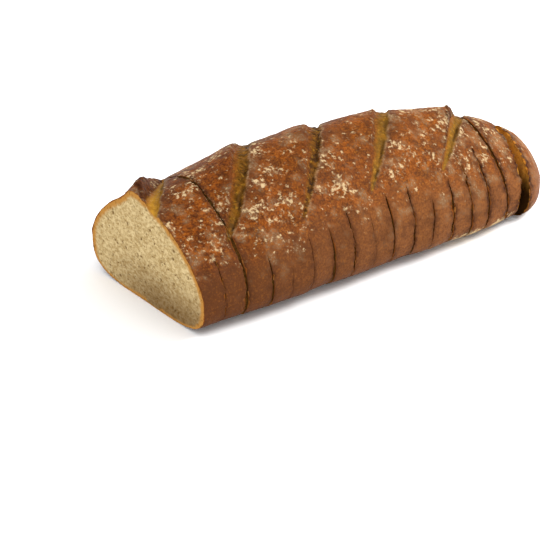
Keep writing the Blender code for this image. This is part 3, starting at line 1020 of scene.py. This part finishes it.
def add_rim(sheet, colour):
    """The crumb's colour with the baked rim under the crust."""
    edge = sheet.noise(RIM_EDGE)
    depth = sheet.compute("MULTIPLY_ADD", edge, RIM_WANDER, sheet.field("under_crust"))
    colour = sheet.blend(sheet.ramp(depth, GOLD_RIM_RAMP), colour, RIM_GOLD)
    colour = sheet.blend(sheet.ramp(depth, BROWN_RIM_RAMP), colour, RIM_BROWN)
    # dark pores along the rim, painted in the pores' shade colour
    pores = sheet.ramp(sheet.noise(RIM_HOLES), RIM_PORES)
    pores = sheet.times(pores, sheet.ramp(depth, RIM_PORE_DEPTHS))
    return sheet.blend(pores, colour, PORE_SHADOW)


def crumb_material():
    sheet = Sheet("crumb", CRUMB_SPECULAR)
    grain = sheet.noise(CRUMB_GRAIN, CRUMB_STRETCH)
    colour = sheet.blend(sheet.ramp(grain, CRUMB_RAMP), CRUMB_DARK, CRUMB_LIGHT)
    colour = sheet.blend(sheet.ramp(sheet.noise(CRUMB_SHADES), CRUMB_CLOUDS), colour, CRUMB_DARK)
    # painted shade on the lower crumb
    colour = sheet.blend(sheet.times(sheet.field("low_shade"), LOW_SHADE_SHARE), colour, SHADED_CRUMB)
    # painted shade: pores darken with their depth, and noise adds dark holes where the face has no dents
    holes = sheet.ramp(sheet.noise(HOLES, CRUMB_STRETCH), HOLE_RAMP)
    holes = sheet.compute("MAXIMUM", sheet.times(holes, HOLE_SHARE), sheet.field("pore"))
    colour = sheet.blend(sheet.times(holes, PORE_SHARE), colour, PORE_SHADOW)
    colour = add_rim(sheet, colour)
    # painted light in part: the heel's face turns golden
    golden = sheet.times(sheet.field("gilt"), sheet.ramp(grain, HEEL_GRAINS))
    colour = sheet.blend(golden, colour, HEEL_GOLD)
    # painted shadow in the gaps between the pieces
    colour = sheet.blend(sheet.field("gap_shade"), colour, GAP_SHADOW)
    return sheet.finish(colour, CRUMB_ROUGHNESS, grain)


def make_loaf():
    angles = even_angles(ROUND_STEPS)
    draw = np.random.default_rng(SEED)
    materials = (crust_material(), crumb_material())
    for index in range(len(CUTS)):
        last = index == len(CUTS) - 1
        slid = HEEL_SLIDE if last else draw.uniform(-SIDE_STEP, SIDE_STEP)
        make_piece(index, angles, slid, materials)


# The camera of the photograph, in millimetres and radians.
VIEW_TURN = math.radians(-35.102)
VIEW_RISE = math.radians(25.766)
VIEW_DISTANCE = 1677.8
VIEW_TARGET = (77.1, -10.7, 3.6)
LENS = 196.42
SENSOR = 36.0

# The studio, in metres.
FURTHEST = 100.0  # that the camera sees
FLOOR_SIZE = 40.0
FLOOR_COLOUR = (0.95, 0.95, 0.95, 1)
FLOOR_ROUGHNESS = 0.9
ROOM_COLOUR = (1, 1, 1, 1)
ROOM_STRENGTH = 1.35
KEY_PLACE = (0.72, -0.38, 0.72)
KEY_TARGET = (0.08, 0, 0.03)
KEY_SIZE = 0.5
KEY_POWER = 11


def make_camera():
    across = Vector((math.cos(VIEW_TURN), math.sin(VIEW_TURN), 0))
    level_back = Vector((math.sin(VIEW_TURN), -math.cos(VIEW_TURN), 0))
    back = math.cos(VIEW_RISE) * level_back + Vector((0, 0, math.sin(VIEW_RISE)))
    turned = Matrix((across, back.cross(across), back)).transposed()
    data = bpy.data.cameras.new("camera")
    data.lens = LENS
    data.sensor_width = SENSOR
    data.clip_end = FURTHEST
    camera = bpy.data.objects.new("camera", data)
    place = (Vector(VIEW_TARGET) - Vector(MIDDLE) + VIEW_DISTANCE * back) * MM
    camera.matrix_world = Matrix.Translation(place) @ turned.to_4x4()
    bpy.context.scene.collection.objects.link(camera)
    bpy.context.scene.camera = camera


def make_floor():
    bpy.ops.mesh.primitive_plane_add(size=FLOOR_SIZE)
    floor = bpy.context.object
    floor.name = "floor"
    material = bpy.data.materials.new("floor")
    material.use_nodes = True
    shader = material.node_tree.nodes["Principled BSDF"]
    shader.inputs["Base Color"].default_value = FLOOR_COLOUR
    shader.inputs["Roughness"].default_value = FLOOR_ROUGHNESS
    shader.inputs["Specular IOR Level"].default_value = 0.0
    floor.data.materials.append(material)


def make_key_light():
    data = bpy.data.lights.new("key", "AREA")
    data.shape = "DISK"
    data.size = KEY_SIZE
    data.energy = KEY_POWER
    light = bpy.data.objects.new("key", data)
    light.location = KEY_PLACE
    aim = Vector(KEY_TARGET) - Vector(KEY_PLACE)
    light.rotation_euler = aim.to_track_quat("-Z", "Y").to_euler()
    bpy.context.scene.collection.objects.link(light)


def make_studio():
    make_floor()
    world = bpy.data.worlds.new("studio")
    world.use_nodes = True
    background = world.node_tree.nodes["Background"]
    background.inputs["Color"].default_value = ROOM_COLOUR
    background.inputs["Strength"].default_value = ROOM_STRENGTH
    bpy.context.scene.world = world
    make_key_light()
    bpy.context.scene.view_settings.view_transform = "Standard"


make_camera()
make_loaf()
make_studio()
